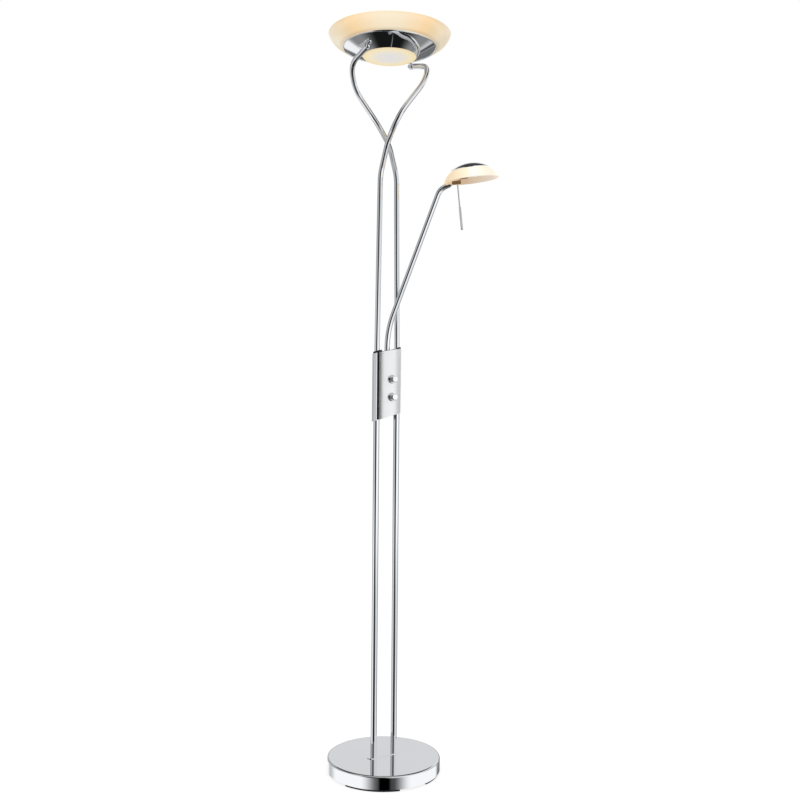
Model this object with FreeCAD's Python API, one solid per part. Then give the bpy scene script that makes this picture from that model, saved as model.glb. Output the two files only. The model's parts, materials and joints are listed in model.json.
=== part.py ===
import FreeCAD, Part
import math
import os

# Torchiere floor lamp with a swivelling reading light, in millimetres.
# The origin is on the floor under the centre of the base. +Z is up, -Y is the side with the knobs,
# and the two poles stand on the X axis.

# Fits and gaps
SEAT_GAP = 0.2
FACE_GAP = 0.3
RUNNING_FIT = 0.06

# Base
BASE_RADIUS = 137.5
BASE_HEIGHT = 36.7
COVER_WALL = 1.2
COVER_EDGE_RADIUS = 4.0
BASE_PLATE_THICKNESS = 2.0
WEIGHT_HEIGHT = 18.0
WEIGHT_BOSS_RADIUS = 9.0
BASE_SCREW_COUNT = 3
BASE_SCREW_CIRCLE = 80.0
BASE_SCREW_RADIUS = 3.0
BASE_SCREW_HEAD_RADIUS = 5.5
BASE_SCREW_HEAD_HEIGHT = 2.6
BASE_SCREW_LENGTH = 14.0
PAD_HEIGHT = 5.0
PAD_WIDTH = 16.0
PAD_EDGE_INSET = 3.0
PAD_ARC = 58.0
PAD_COUNT = 4
MIDDLE_PAD_RADIUS = 18.0
GROMMET_BORE_RADIUS = 3.2
GROMMET_BODY_RADIUS = 4.6
GROMMET_FLANGE_RADIUS = 6.0
GROMMET_FLANGE_THICKNESS = 1.6
GROMMET_LIFT = 0.8

# Poles
POLE_SPACING = 58.0
LOWER_TUBE_RADIUS = 7.5
LOWER_TUBE_WALL = 0.8
UPPER_TUBE_RADIUS = 6.5
UPPER_TUBE_WALL = 1.1
SPLICE_LENGTH = 55.0
STEM_PLATE_LENGTH = 91.0
STEM_PLATE_WIDTH = 18.0
STEM_PLATE_THICKNESS = 1.5
FOOT_PLUG_HEIGHT = 25.0
FOOT_STUD_RADIUS = 5.0
FOOT_WIRE_RADIUS = 2.8
FOOT_NUT_FLATS = 17.0
FOOT_NUT_HEIGHT = 8.0

# Bends of the left upper tube, from below: distance from the lamp's axis, turn about that axis
# from the left pole, drop below the lamp's top, and bend radius. The right tube is the same piece
# turned half round.
NECK_REACH = 23.7
NECK_DROP = 346.0
NECK_BEND_RADIUS = 120.0
CROSSING_REACH = 27.5
CROSSING_TURN = 52.0
CROSSING_DROP = 269.0
CROSSING_BEND_RADIUS = 120.0
FLARE_REACH = 60.5
FLARE_TURN = 78.7
FLARE_DROP = 213.0
FLARE_BEND_RADIUS = 120.0
SHOULDER_REACH = 93.2
SHOULDER_TURN = 123.8
SHOULDER_DROP = 125.0
SHOULDER_BEND_RADIUS = 90.0
HOOK_REACH = 94.3
HOOK_TURN = 149.6
HOOK_DROP = 75.0
HOOK_BEND_RADIUS = 58.0
POLE_KINK_RADIUS = 600.0
POLE_KINK_ABOVE_BOX = 14.0

# Control box
BOX_BOTTOM = 864.0
BOX_HEIGHT = 160.0
BOX_HALF_DEPTH = 23.0
BOX_TOP_SLANT = 9.0
BOX_BOTTOM_SLANT = 15.0
BOX_END_PITCH = 8.5
SHELL_WALL = 1.5
FRONT_SHELL_HALF_WIDTH = 30.5
REAR_SHELL_FRONT_EDGE = -9.4
CORE_SIDE_WALL = 1.2
CORE_STAND_OUT = 1.0
CORE_LIP_HEIGHT = 5.0
CORE_LIP_LENGTH = 13.0
CORE_BOTTOM_INSET = 1.0
CORE_FRONT_WALL_Y = -13.5
CORE_FLOOR = 20.0
POCKET_HALF_WIDTH = 19.0
POCKET_TOP_WALL = 5.0
GRUB_SCREW_RADIUS = 2.0
GRUB_LOW_Z = 30.0
GRUB_HIGH_Z = 132.0
SHELL_SCREW_RADIUS = 1.6
SHELL_SCREW_HEAD_RADIUS = 3.2
SHELL_SCREW_HEAD_HEIGHT = 1.8
SHELL_SCREW_LENGTH = 10.5
SHELL_SCREW_LOW_Z = 11.0
SHELL_SCREW_HIGH_Z = 146.0
TERMINAL_LENGTH = 30.0
TERMINAL_DEPTH = 12.0
TERMINAL_HEIGHT = 11.0
TERMINAL_WAYS = 3

# Dimmers and knobs
KNOB_ABOVE_BOX_BOTTOM = 49.0
KNOB_SPACING = 43.3
DIMMER_WIDTH = 27.0
DIMMER_DEPTH = 13.0
DIMMER_HEIGHT = 30.0
BUSHING_RADIUS = 3.9
SHAFT_RADIUS = 3.0
BEZEL_RADIUS = 10.2
BEZEL_THICKNESS = 2.0
BEZEL_BEVEL = 1.5
BUSHING_NUT_FLATS = 10.5
BUSHING_NUT_HEIGHT = 2.0
KNOB_RADIUS = 7.75
KNOB_LENGTH = 13.4
KNOB_EDGE = 0.9

# Main head
LAMP_HEIGHT = 1800.0
DISH_RADIUS = 114.0
BOWL_HEIGHT = 32.0
DISH_HOLE_RADIUS = 65.5
DISH_DEPTH = 23.0
DISH_WALL = 1.2
DISH_BEAD_RADIUS = 1.1
LENS_CROWN = 2.0
LENS_THICKNESS = 4.0
LENS_FLANGE_WIDTH = 5.5
LENS_FLANGE_TOP = 6.0
BOWL_RADIUS = 149.5
BOWL_WALL = 4.0
BOWL_BELLY_RADIUS = 135.5
BOWL_BELLY_DROP = 20.5
BOWL_HOLE_RADIUS = 70.0
BOWL_FLOOR_FALL = 4.5

# Joint between the upper tubes and the dish
FITTING_RING_RADIUS = 85.0
FITTING_ANGLE = 197.0
FITTING_RADIUS = 7.9
FITTING_SOCKET = 9.0
FITTING_NOSE = 5.0
FITTING_CAP_RADIUS = 6.3
FITTING_DISH_GAP = 0.5
FITTING_STUD_RADIUS = 3.0
FITTING_SHOULDER_RADIUS = 5.0
DISH_NUT_FLATS = 10.0
DISH_NUT_HEIGHT = 4.5

# Lamp carrier in the dish
STRAP_WIDTH = 14.0
STRAP_THICKNESS = 1.5
STRAP_ABOVE_LENS = 0.6
STRAP_OVERHANG = 8.0
BURNER_LENGTH = 78.3
BURNER_RADIUS = 5.0
BURNER_PIN_RADIUS = 3.4
BURNER_PIN_LENGTH = 7.0
HOLDER_LENGTH = 14.0
HOLDER_WIDTH = 13.0
HOLDER_HEIGHT = 22.0
HOLDER_AXIS_HEIGHT = 15.0
HOLDER_POCKET = 4.3
HOLDER_SCREW_RADIUS = 1.5
HOLDER_SCREW_HEAD_RADIUS = 2.8
HOLDER_SCREW_LENGTH = 8.0

# Reading arm
ARM_AZIMUTH = -38.0
ARM_TUBE_RADIUS = 6.5
ARM_TUBE_WALL = 1.2
ARM_KNEE_ABOVE_BOX = 51.8
ARM_LEAN = 20.07
ARM_REACH = 125.9
ARM_KNEE_RADIUS = 250.0
ARM_ELBOW_RADIUS = 38.0
ARM_TIP_RISE = 25.0
ARM_TIP_RUN = 36.0
BUSH_WALL = 2.1
BUSH_LENGTH = 41.5
BUSH_BELOW_TOP = 0.5
BUSH_LIP_THICKNESS = 2.5
BUSH_WIRE_RADIUS = 4.0

# Pivot of the reading head
TONGUE_THICKNESS = 5.0
TONGUE_RADIUS = 4.0
TONGUE_PLUG_LENGTH = 7.8
TONGUE_GROOVE_START = 3.0
TONGUE_GROOVE_WIDTH = 2.8
TONGUE_GROOVE_DEPTH = 1.2
TONGUE_COLLAR = 2.0
TONGUE_TO_TUBE = 11.3
STOP_SCREW_RADIUS = 1.2
STOP_SCREW_TURN = 40.0
PIVOT_PIN_RADIUS = 1.8
PIVOT_HEAD_RADIUS = 3.2
PIVOT_HEAD_THICKNESS = 1.2
BRACKET_THICKNESS = 1.5
EAR_RADIUS = 4.0
EAR_LENGTH = 18.0
BRACKET_WIDTH = 13.0
BRACKET_TOP_REACH = 9.0
WEB_START = 6.8
WEB_LENGTH = 6.4
WEB_THICKNESS = 3.2

# Reading shade
HEAD_TILT = 6.7
HEAD_ROLL = 5.6
SHADE_FORWARD = 44.5
SHADE_ABOVE_PIVOT = 0.7
SHADE_RADIUS = 67.0
SHADE_WALL = 3.5
CAP_RADIUS = 47.0
CAP_EDGE_HEIGHT = 27.6
CAP_TOP_HEIGHT = 41.5
CAP_WALL = 1.2
CAP_STUD_RADIUS = 4.9
CAP_STUD_LENGTH = 17.5
CAP_NUT_FLATS = 14.0
CAP_NUT_HEIGHT = 4.0
SHADE_BELLY_RADIUS = 61.2
SHADE_BELLY_HEIGHT = 13.0
SPACER_RADIUS = 9.0
BRACKET_BELOW_SHADE = 6.8
SOCKET_LENGTH = 18.0
SOCKET_WIDTH = 16.0
SOCKET_HEIGHT = 14.0
SOCKET_LIFT = 14.0
CAPSULE_RADIUS = 6.5
CAPSULE_LENGTH = 34.0

# Handle rod of the reading head
HANDLE_RADIUS = 2.0
HANDLE_LENGTH = 108.0
HANDLE_LEAN = 6.0
GRIP_RADIUS = 2.9
GRIP_LENGTH = 52.0
TIP_RADIUS = 3.3

UP = FreeCAD.Vector(0, 0, 1)
FRONT = FreeCAD.Vector(0, -1, 0)


def vec(x, y, z):
    return FreeCAD.Vector(x, y, z)


def polar(radius, angle, z):
    a = math.radians(angle)
    return vec(radius * math.cos(a), radius * math.sin(a), z)


def save(name, shape):
    if shape.ShapeType == "Compound" and len(shape.Solids) == 1:
        shape = shape.Solids[0]
    shape.exportStep(os.path.join("parts", name + ".step"))


def rod(radius, start, direction, length):
    return Part.makeCylinder(radius, length, start, direction)


def pipe(radius, bore, start, direction, length):
    return rod(radius, start, direction, length).cut(rod(bore, start, direction, length))


def box(x0, x1, y0, y1, z0, z1):
    return Part.makeBox(x1 - x0, y1 - y0, z1 - z0, vec(x0, y0, z0))


def group(shapes):
    return Part.makeCompound(shapes)


def half_turn(shape):
    other = shape.copy()
    other.rotate(vec(0, 0, 0), UP, 180)
    return other


def mirrored(shape):
    return shape.mirror(vec(0, 0, 0), vec(1, 0, 0))


def path_wire(start, steps):
    """Closed outline in the XZ plane. A step is a point, or a (middle, end) pair for an arc."""
    edges = []
    here = vec(start[0], 0, start[1])
    for step in steps:
        if isinstance(step[0], tuple):
            middle, end = (vec(p[0], 0, p[1]) for p in step)
            edges.append(Part.Arc(here, middle, end).toShape())
        else:
            end = vec(step[0], 0, step[1])
            edges.append(Part.LineSegment(here, end).toShape())
        here = end
    edges.append(Part.LineSegment(here, vec(start[0], 0, start[1])).toShape())
    return Part.Wire(edges)


def turned(start, steps):
    """Solid of revolution about Z."""
    return Part.Face(path_wire(start, steps)).revolve(vec(0, 0, 0), UP, 360)


def crown(top, edge_radius, edge_z, start, end):
    """Middle and end of an arc, from one radius to another, on the sphere about the Z axis that
    has its top at a given height and passes through a given edge."""
    fall = top - edge_z
    sphere = (edge_radius ** 2 + fall ** 2) / (2 * fall)
    radii = ((start + end) / 2, end)
    return tuple((r, top - sphere + math.copysign(math.sqrt(sphere ** 2 - r ** 2), sphere)) for r in radii)


def hex_nut(flats, height, bore, start, direction):
    nut = Part.Face(Part.makePolygon([polar(flats / math.sqrt(3), 60 * i, 0) for i in range(7)]))
    nut = nut.extrude(vec(0, 0, height)).cut(rod(bore, vec(0, 0, -1), UP, height + 2))
    nut.Placement = FreeCAD.Placement(start, FreeCAD.Rotation(UP, direction))
    return nut


def bent_tube(points, bend_radii, radius, wall):
    """Tube along straight runs that are joined by tangent arcs."""
    edges = []
    here = points[0]
    for before, corner, after, bend in zip(points, points[1:], points[2:], bend_radii):
        back = (before - corner).normalize()
        ahead = (after - corner).normalize()
        turn = math.pi - back.getAngle(ahead)
        cut = bend * math.tan(turn / 2)
        bisector = (back + ahead).normalize()
        middle = corner + bisector * (bend / math.cos(turn / 2) - bend)
        arc_start = corner + back * cut
        arc_end = corner + ahead * cut
        edges.append(Part.LineSegment(here, arc_start).toShape())
        edges.append(Part.Arc(arc_start, middle, arc_end).toShape())
        here = arc_end
    edges.append(Part.LineSegment(here, points[-1]).toShape())
    spine = Part.Wire(edges)
    start = (points[1] - points[0]).normalize()
    outer, inner = (
        spine.makePipe(Part.Face(Part.Wire(Part.makeCircle(r, points[0], start))))
        for r in (radius, radius - wall)
    )
    return outer.cut(inner)


# Heights and places that several pieces share
COVER_TOP = BASE_HEIGHT
COVER_BOTTOM = PAD_HEIGHT
PLATE_TOP = COVER_BOTTOM + BASE_PLATE_THICKNESS
WEIGHT_TOP = COVER_TOP - COVER_WALL
WEIGHT_BOTTOM = WEIGHT_TOP - WEIGHT_HEIGHT
WEIGHT_RADIUS = BASE_RADIUS - COVER_WALL - COVER_EDGE_RADIUS
POLE_FOOT = COVER_TOP + STEM_PLATE_THICKNESS
POLE_X = POLE_SPACING / 2
BOX_TOP = BOX_BOTTOM + BOX_HEIGHT
BOX_MIDDLE = BOX_BOTTOM + BOX_HEIGHT / 2
ARM_KNEE_Z = BOX_TOP + ARM_KNEE_ABOVE_BOX
CORE_HALF_WIDTH = POLE_X + LOWER_TUBE_RADIUS + CORE_SIDE_WALL
BOX_HALF_WIDTH = CORE_HALF_WIDTH + FACE_GAP + SHELL_WALL
CORE_HALF_DEPTH = BOX_HALF_DEPTH - SHELL_WALL - FACE_GAP
KNOB_HEIGHTS = {
    "lower": BOX_BOTTOM + KNOB_ABOVE_BOX_BOTTOM,
    "upper": BOX_BOTTOM + KNOB_ABOVE_BOX_BOTTOM + KNOB_SPACING,
}
BUSH_RADIUS = ARM_TUBE_RADIUS + RUNNING_FIT + BUSH_WALL
BUSH_TOP = BOX_TOP + CORE_STAND_OUT - BUSH_BELOW_TOP
BUSH_BOTTOM = BUSH_TOP - BUSH_LENGTH
POCKET_BOTTOM = BOX_BOTTOM + CORE_FLOOR
POCKET_TOP = BUSH_BOTTOM - POCKET_TOP_WALL
ARM_FOOT = BUSH_BOTTOM + BUSH_LIP_THICKNESS + FACE_GAP

DISH_RIM_Z = LAMP_HEIGHT - BOWL_HEIGHT
DISH_HOLE_Z = DISH_RIM_Z - DISH_DEPTH
UPPER_BENDS = (
    (NECK_REACH, 0, LAMP_HEIGHT - NECK_DROP, NECK_BEND_RADIUS),
    (CROSSING_REACH, CROSSING_TURN, LAMP_HEIGHT - CROSSING_DROP, CROSSING_BEND_RADIUS),
    (FLARE_REACH, FLARE_TURN, LAMP_HEIGHT - FLARE_DROP, FLARE_BEND_RADIUS),
    (SHOULDER_REACH, SHOULDER_TURN, LAMP_HEIGHT - SHOULDER_DROP, SHOULDER_BEND_RADIUS),
    (HOOK_REACH, HOOK_TURN, LAMP_HEIGHT - HOOK_DROP, HOOK_BEND_RADIUS),
)
DISH_RISE = (DISH_RIM_Z - DISH_HOLE_Z) / (DISH_RADIUS - DISH_HOLE_RADIUS)
DISH_ANGLE = math.degrees(math.atan(DISH_RISE))
DISH_WALL_UPRIGHT = DISH_WALL / math.cos(math.radians(DISH_ANGLE))
LENS_TOP = DISH_HOLE_Z + LENS_FLANGE_TOP
STRAP_BOTTOM = LENS_TOP + STRAP_ABOVE_LENS
STRAP_LIFT = DISH_WALL_UPRIGHT + FACE_GAP + STRAP_WIDTH ** 2 / (8 * FITTING_RING_RADIUS)
BOWL_SEAT_Z = DISH_RIM_Z + DISH_WALL_UPRIGHT + FACE_GAP


def dish_z(radius):
    """Height of the dish's outer face."""
    return DISH_HOLE_Z + (radius - DISH_HOLE_RADIUS) * DISH_RISE


def make_base():
    height = COVER_TOP - COVER_BOTTOM
    cover = rod(BASE_RADIUS, vec(0, 0, COVER_BOTTOM), UP, height)
    top_edge = [e for e in cover.Edges if abs(e.BoundBox.ZMin - COVER_TOP) < 0.01]
    cover = cover.makeFillet(COVER_EDGE_RADIUS, top_edge)
    room = rod(BASE_RADIUS - COVER_WALL, vec(0, 0, COVER_BOTTOM), UP, height - COVER_WALL)
    top_edge = [e for e in room.Edges if abs(e.BoundBox.ZMin - WEIGHT_TOP) < 0.01]
    cover = cover.cut(room.makeFillet(COVER_EDGE_RADIUS - COVER_WALL, top_edge))
    weight = rod(WEIGHT_RADIUS, vec(0, 0, WEIGHT_BOTTOM), UP, WEIGHT_HEIGHT)
    for i in range(BASE_SCREW_COUNT):
        place = polar(BASE_SCREW_CIRCLE, 90 + (i + 0.5) * 360 / BASE_SCREW_COUNT, PLATE_TOP)
        weight = weight.fuse(rod(WEIGHT_BOSS_RADIUS, place, UP, WEIGHT_BOTTOM - PLATE_TOP))
    weight = weight.removeSplitter()
    plate = rod(BASE_RADIUS - COVER_WALL - SEAT_GAP, vec(0, 0, COVER_BOTTOM), UP, BASE_PLATE_THICKNESS)
    for x in (-POLE_X, POLE_X):
        hole = rod(FOOT_STUD_RADIUS + SEAT_GAP, vec(x, 0, COVER_BOTTOM), UP, height + 1)
        cover = cover.cut(hole)
        weight = weight.cut(hole)

    screws = []
    for i in range(BASE_SCREW_COUNT):
        place = polar(BASE_SCREW_CIRCLE, 90 + (i + 0.5) * 360 / BASE_SCREW_COUNT, COVER_BOTTOM)
        hole = rod(BASE_SCREW_RADIUS + SEAT_GAP, place, UP, BASE_SCREW_LENGTH + 1)
        plate = plate.cut(hole)
        weight = weight.cut(hole)
        screw = rod(BASE_SCREW_RADIUS, place, UP, BASE_SCREW_LENGTH)
        head = rod(BASE_SCREW_HEAD_RADIUS, place - UP * BASE_SCREW_HEAD_HEIGHT, UP, BASE_SCREW_HEAD_HEIGHT)
        screws.append(screw.fuse(head))

    grommet_z = PLATE_TOP + GROMMET_FLANGE_RADIUS + GROMMET_LIFT
    wall_outside = BASE_RADIUS + FACE_GAP
    wall_inside = math.sqrt((BASE_RADIUS - COVER_WALL) ** 2 - GROMMET_FLANGE_RADIUS ** 2) - FACE_GAP
    back = vec(0, 1, 0)
    inner_face = wall_inside - GROMMET_FLANGE_THICKNESS
    outer_face = wall_outside + GROMMET_FLANGE_THICKNESS
    grommet = rod(GROMMET_BODY_RADIUS, vec(0, inner_face, grommet_z), back, outer_face - inner_face)
    for y in (inner_face, wall_outside):
        flange = rod(GROMMET_FLANGE_RADIUS, vec(0, y, grommet_z), back, GROMMET_FLANGE_THICKNESS)
        grommet = grommet.fuse(flange)
    bore = rod(GROMMET_BORE_RADIUS, vec(0, inner_face, grommet_z), back, outer_face - inner_face)
    grommet = grommet.cut(bore).removeSplitter()
    hole_radius = GROMMET_BODY_RADIUS + SEAT_GAP
    wall_hole = rod(hole_radius, vec(0, inner_face, grommet_z), back, 4 * hole_radius)
    cover = cover.cut(wall_hole)

    pad_outer = BASE_RADIUS - PAD_EDGE_INSET
    pads = []
    for i in range(PAD_COUNT):
        pad = Part.makeCylinder(pad_outer, PAD_HEIGHT, vec(0, 0, 0), UP, PAD_ARC)
        pad = pad.cut(rod(pad_outer - PAD_WIDTH, vec(0, 0, 0), UP, PAD_HEIGHT))
        pad.rotate(vec(0, 0, 0), UP, (i + 0.5) * 360 / PAD_COUNT - PAD_ARC / 2)
        pads.append(pad)
    pads.append(rod(MIDDLE_PAD_RADIUS, vec(0, 0, 0), UP, PAD_HEIGHT))

    save("base_cover", cover)
    save("base_weight", weight)
    save("base_plate", plate)
    save("base_plate_screws", group(screws))
    save("cable_grommet", grommet)
    save("foot_pads", group(pads))


def make_pole_feet():
    straight = STEM_PLATE_LENGTH / 2 - STEM_PLATE_WIDTH / 2
    stem = box(-straight, straight, -STEM_PLATE_WIDTH / 2, STEM_PLATE_WIDTH / 2, COVER_TOP, POLE_FOOT)
    for x in (-straight, straight):
        stem = stem.fuse(rod(STEM_PLATE_WIDTH / 2, vec(x, 0, COVER_TOP), UP, STEM_PLATE_THICKNESS))
    stem = stem.removeSplitter()
    plugs = []
    nuts = []
    stud_bottom = WEIGHT_BOTTOM - FOOT_NUT_HEIGHT - FACE_GAP
    for x in (-POLE_X, POLE_X):
        stem = stem.cut(rod(FOOT_STUD_RADIUS + SEAT_GAP, vec(x, 0, COVER_TOP), UP, STEM_PLATE_THICKNESS))
        plug = rod(LOWER_TUBE_RADIUS - LOWER_TUBE_WALL - SEAT_GAP, vec(x, 0, POLE_FOOT), UP, FOOT_PLUG_HEIGHT)
        plug = plug.fuse(rod(FOOT_STUD_RADIUS, vec(x, 0, stud_bottom), UP, POLE_FOOT - stud_bottom))
        wire_way = rod(FOOT_WIRE_RADIUS, vec(x, 0, stud_bottom), UP, 2 * FOOT_PLUG_HEIGHT + POLE_FOOT)
        plugs.append(plug.cut(wire_way))
        nut_bottom = vec(x, 0, WEIGHT_BOTTOM - FOOT_NUT_HEIGHT)
        nuts.append(hex_nut(FOOT_NUT_FLATS, FOOT_NUT_HEIGHT, FOOT_STUD_RADIUS + SEAT_GAP, nut_bottom, UP))
    save("stem_plate", stem)
    save("tube_foot_plugs", group(plugs))
    save("tube_foot_nuts", group(nuts))


def make_lower_tubes():
    for side, x in (("left", -POLE_X), ("right", POLE_X)):
        bore = LOWER_TUBE_RADIUS - LOWER_TUBE_WALL
        tube = pipe(LOWER_TUBE_RADIUS, bore, vec(x, 0, POLE_FOOT), UP, BOX_MIDDLE - POLE_FOOT)
        save("lower_tube_" + side, tube)


def fitting_frame():
    """Centre of the left tube's end fitting, and the dish's normal there."""
    angle = 180 + FITTING_ANGLE
    lean = math.radians(DISH_ANGLE)
    drop = (FITTING_RADIUS + FITTING_DISH_GAP) / math.cos(lean)
    centre = polar(FITTING_RING_RADIUS, angle, dish_z(FITTING_RING_RADIUS) - drop)
    normal = polar(-math.sin(lean), angle, math.cos(lean))
    return centre, normal


def upper_tube_points():
    kink = BOX_TOP + POLE_KINK_ABOVE_BOX
    points = [vec(-POLE_X, 0, BOX_MIDDLE - SPLICE_LENGTH), vec(-POLE_X, 0, kink)]
    points += [polar(r, 180 + turn, z) for r, turn, z, bend in UPPER_BENDS]
    points.append(fitting_frame()[0])
    return points


def make_upper_tubes():
    points = upper_tube_points()
    bends = [POLE_KINK_RADIUS] + [bend for r, turn, z, bend in UPPER_BENDS]
    left = bent_tube(points, bends, UPPER_TUBE_RADIUS, UPPER_TUBE_WALL)
    save("upper_tube_left", left)
    save("upper_tube_right", half_turn(left))


def make_end_fittings():
    centre, normal = fitting_frame()
    before = upper_tube_points()[-2]
    along = (centre - before).normalize()
    body = rod(FITTING_RADIUS, centre - along * FITTING_SOCKET, along, FITTING_SOCKET + FITTING_NOSE)
    body = body.fuse(Part.makeSphere(FITTING_CAP_RADIUS, centre + along * FITTING_NOSE))
    to_dish = FITTING_RADIUS + FITTING_DISH_GAP
    body = body.fuse(rod(FITTING_SHOULDER_RADIUS, centre, normal, to_dish - FACE_GAP))
    to_nut = to_dish + (STRAP_LIFT + STRAP_THICKNESS) * math.cos(math.radians(DISH_ANGLE)) + FACE_GAP
    stud_length = to_nut + DISH_NUT_HEIGHT + FACE_GAP
    body = body.fuse(rod(FITTING_STUD_RADIUS, centre, normal, stud_length))
    depth = FITTING_SOCKET + FACE_GAP
    socket = rod(UPPER_TUBE_RADIUS + SEAT_GAP, centre - along * FITTING_SOCKET, along, depth)
    wire_way = rod(FITTING_STUD_RADIUS / 2, centre, normal, stud_length)
    body = body.cut(socket).cut(wire_way)
    nut_start = centre + normal * to_nut
    nut = hex_nut(DISH_NUT_FLATS, DISH_NUT_HEIGHT, FITTING_STUD_RADIUS + SEAT_GAP, nut_start, normal)
    save("end_fitting_left", body)
    save("end_fitting_right", half_turn(body))
    save("dish_nuts", group([nut, half_turn(nut)]))


def fitting_holes(radius):
    centre, normal = fitting_frame()
    hole = rod(radius, centre, normal, 4 * FITTING_RADIUS)
    return hole, half_turn(hole)


def make_dish():
    top = DISH_WALL_UPRIGHT
    bead = DISH_RADIUS - DISH_BEAD_RADIUS
    bead_z = dish_z(bead - DISH_BEAD_RADIUS)
    dish = turned(
        (DISH_HOLE_RADIUS, DISH_HOLE_Z),
        [
            (bead - DISH_BEAD_RADIUS, bead_z),
            ((bead, bead_z - DISH_BEAD_RADIUS), (DISH_RADIUS, bead_z)),
            (DISH_RADIUS, DISH_RIM_Z + top),
            (DISH_HOLE_RADIUS, DISH_HOLE_Z + top),
        ],
    )
    for hole in fitting_holes(FITTING_STUD_RADIUS + SEAT_GAP):
        dish = dish.cut(hole)
    save("chrome_dish", dish)


def make_lens():
    edge = DISH_HOLE_RADIUS - FACE_GAP
    flange = edge + LENS_FLANGE_WIDTH
    seat = DISH_WALL_UPRIGHT + FACE_GAP
    bottom = DISH_HOLE_Z - LENS_CROWN
    edge_bottom = DISH_HOLE_Z
    inner = edge - LENS_THICKNESS
    inside = bottom + LENS_THICKNESS
    lens = turned(
        (0, bottom),
        [
            crown(bottom, edge, edge_bottom, 0, edge),
            (edge, dish_z(edge) + seat),
            (flange, dish_z(flange) + seat),
            (flange, LENS_TOP),
            (inner, LENS_TOP),
            crown(inside, edge, edge_bottom + LENS_THICKNESS, 0, inner)[1],
            crown(inside, edge, edge_bottom + LENS_THICKNESS, inner, 0),
        ],
    )
    save("lens_glass", lens)


def make_bowl():
    seat = BOWL_SEAT_Z
    floor = seat - BOWL_FLOOR_FALL
    half_wall = BOWL_WALL / 2
    rim = LAMP_HEIGHT - half_wall
    belly = vec(BOWL_BELLY_RADIUS, 0, LAMP_HEIGHT - BOWL_BELLY_DROP)
    outward = vec(DISH_RADIUS - BOWL_RADIUS, 0, rim - seat).normalize()
    belly_in = belly + outward * BOWL_WALL
    bowl = turned(
        (BOWL_HOLE_RADIUS, floor),
        [
            (DISH_RADIUS, seat),
            ((belly.x, belly.z), (BOWL_RADIUS, rim)),
            ((BOWL_RADIUS - half_wall, LAMP_HEIGHT), (BOWL_RADIUS - BOWL_WALL, rim)),
            ((belly_in.x, belly_in.z), (DISH_RADIUS - half_wall, seat + BOWL_WALL)),
            (BOWL_HOLE_RADIUS, floor + BOWL_WALL),
        ],
    )
    save("glass_bowl", bowl)


def make_lamp_carrier():
    """Steel strap between the two fittings, with the holders and the linear halogen burner."""
    rise = DISH_RISE
    bend = DISH_HOLE_RADIUS + (STRAP_BOTTOM - DISH_HOLE_Z - STRAP_LIFT) / rise
    end = FITTING_RING_RADIUS + STRAP_OVERHANG
    end_z = dish_z(end) + STRAP_LIFT
    thick = STRAP_THICKNESS
    outline = [
        vec(-end, 0, end_z), vec(-bend, 0, STRAP_BOTTOM), vec(bend, 0, STRAP_BOTTOM), vec(end, 0, end_z),
        vec(end, 0, end_z + thick), vec(bend, 0, STRAP_BOTTOM + thick),
        vec(-bend, 0, STRAP_BOTTOM + thick), vec(-end, 0, end_z + thick), vec(-end, 0, end_z),
    ]
    strap = Part.Face(Part.makePolygon(outline)).extrude(vec(0, STRAP_WIDTH, 0))
    strap.translate(vec(0, -STRAP_WIDTH / 2, 0))

    top = STRAP_BOTTOM + thick
    axis_z = top + HOLDER_AXIS_HEIGHT
    inner = BURNER_LENGTH / 2 + FACE_GAP - HOLDER_POCKET
    holder = box(inner, inner + HOLDER_LENGTH, -HOLDER_WIDTH / 2, HOLDER_WIDTH / 2, top, top + HOLDER_HEIGHT)
    holder = holder.cut(rod(BURNER_PIN_RADIUS + SEAT_GAP, vec(inner, 0, axis_z), vec(1, 0, 0), HOLDER_POCKET))
    screw_x = inner + HOLDER_LENGTH / 2
    screw = rod(HOLDER_SCREW_RADIUS, vec(screw_x, 0, STRAP_BOTTOM), UP, HOLDER_SCREW_LENGTH)
    head = rod(HOLDER_SCREW_HEAD_RADIUS, vec(screw_x, 0, STRAP_BOTTOM - thick), UP, thick)
    screw = screw.fuse(head)
    hole = rod(HOLDER_SCREW_RADIUS + SEAT_GAP, vec(screw_x, 0, STRAP_BOTTOM - 1), UP, HOLDER_SCREW_LENGTH + 1.5)
    holder = holder.cut(hole)
    strap = strap.cut(hole).cut(mirrored(hole))

    body_half = BURNER_LENGTH / 2 - BURNER_PIN_LENGTH
    burner = rod(BURNER_RADIUS, vec(-body_half, 0, axis_z), vec(1, 0, 0), 2 * body_half)
    pins_start = vec(-BURNER_LENGTH / 2, 0, axis_z)
    burner = burner.fuse(rod(BURNER_PIN_RADIUS, pins_start, vec(1, 0, 0), BURNER_LENGTH))

    pieces = {
        "lamp_strap": strap,
        "burner_holder_left": mirrored(holder),
        "burner_holder_right": holder,
        "burner_holder_screws": group([screw, mirrored(screw)]),
        "halogen_burner": burner,
    }
    for name, shape in pieces.items():
        shape.rotate(vec(0, 0, 0), UP, FITTING_ANGLE - 180)
        if name == "lamp_strap":
            for hole in fitting_holes(FITTING_STUD_RADIUS + SEAT_GAP):
                shape = shape.cut(hole)
        save(name, shape)


def beyond_end(z, slant, turn_over):
    """Large block above a slanted end plane of the box, or below it when turned over."""
    size = 6 * BOX_HALF_WIDTH
    normal = vec(-math.tan(math.radians(slant)), math.tan(math.radians(BOX_END_PITCH)), 1)
    block = Part.makeBox(size, size, size, vec(-size / 2, -size / 2, -size if turn_over else 0))
    block.Placement = FreeCAD.Placement(vec(0, 0, z), FreeCAD.Rotation(UP, normal))
    return block


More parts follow.
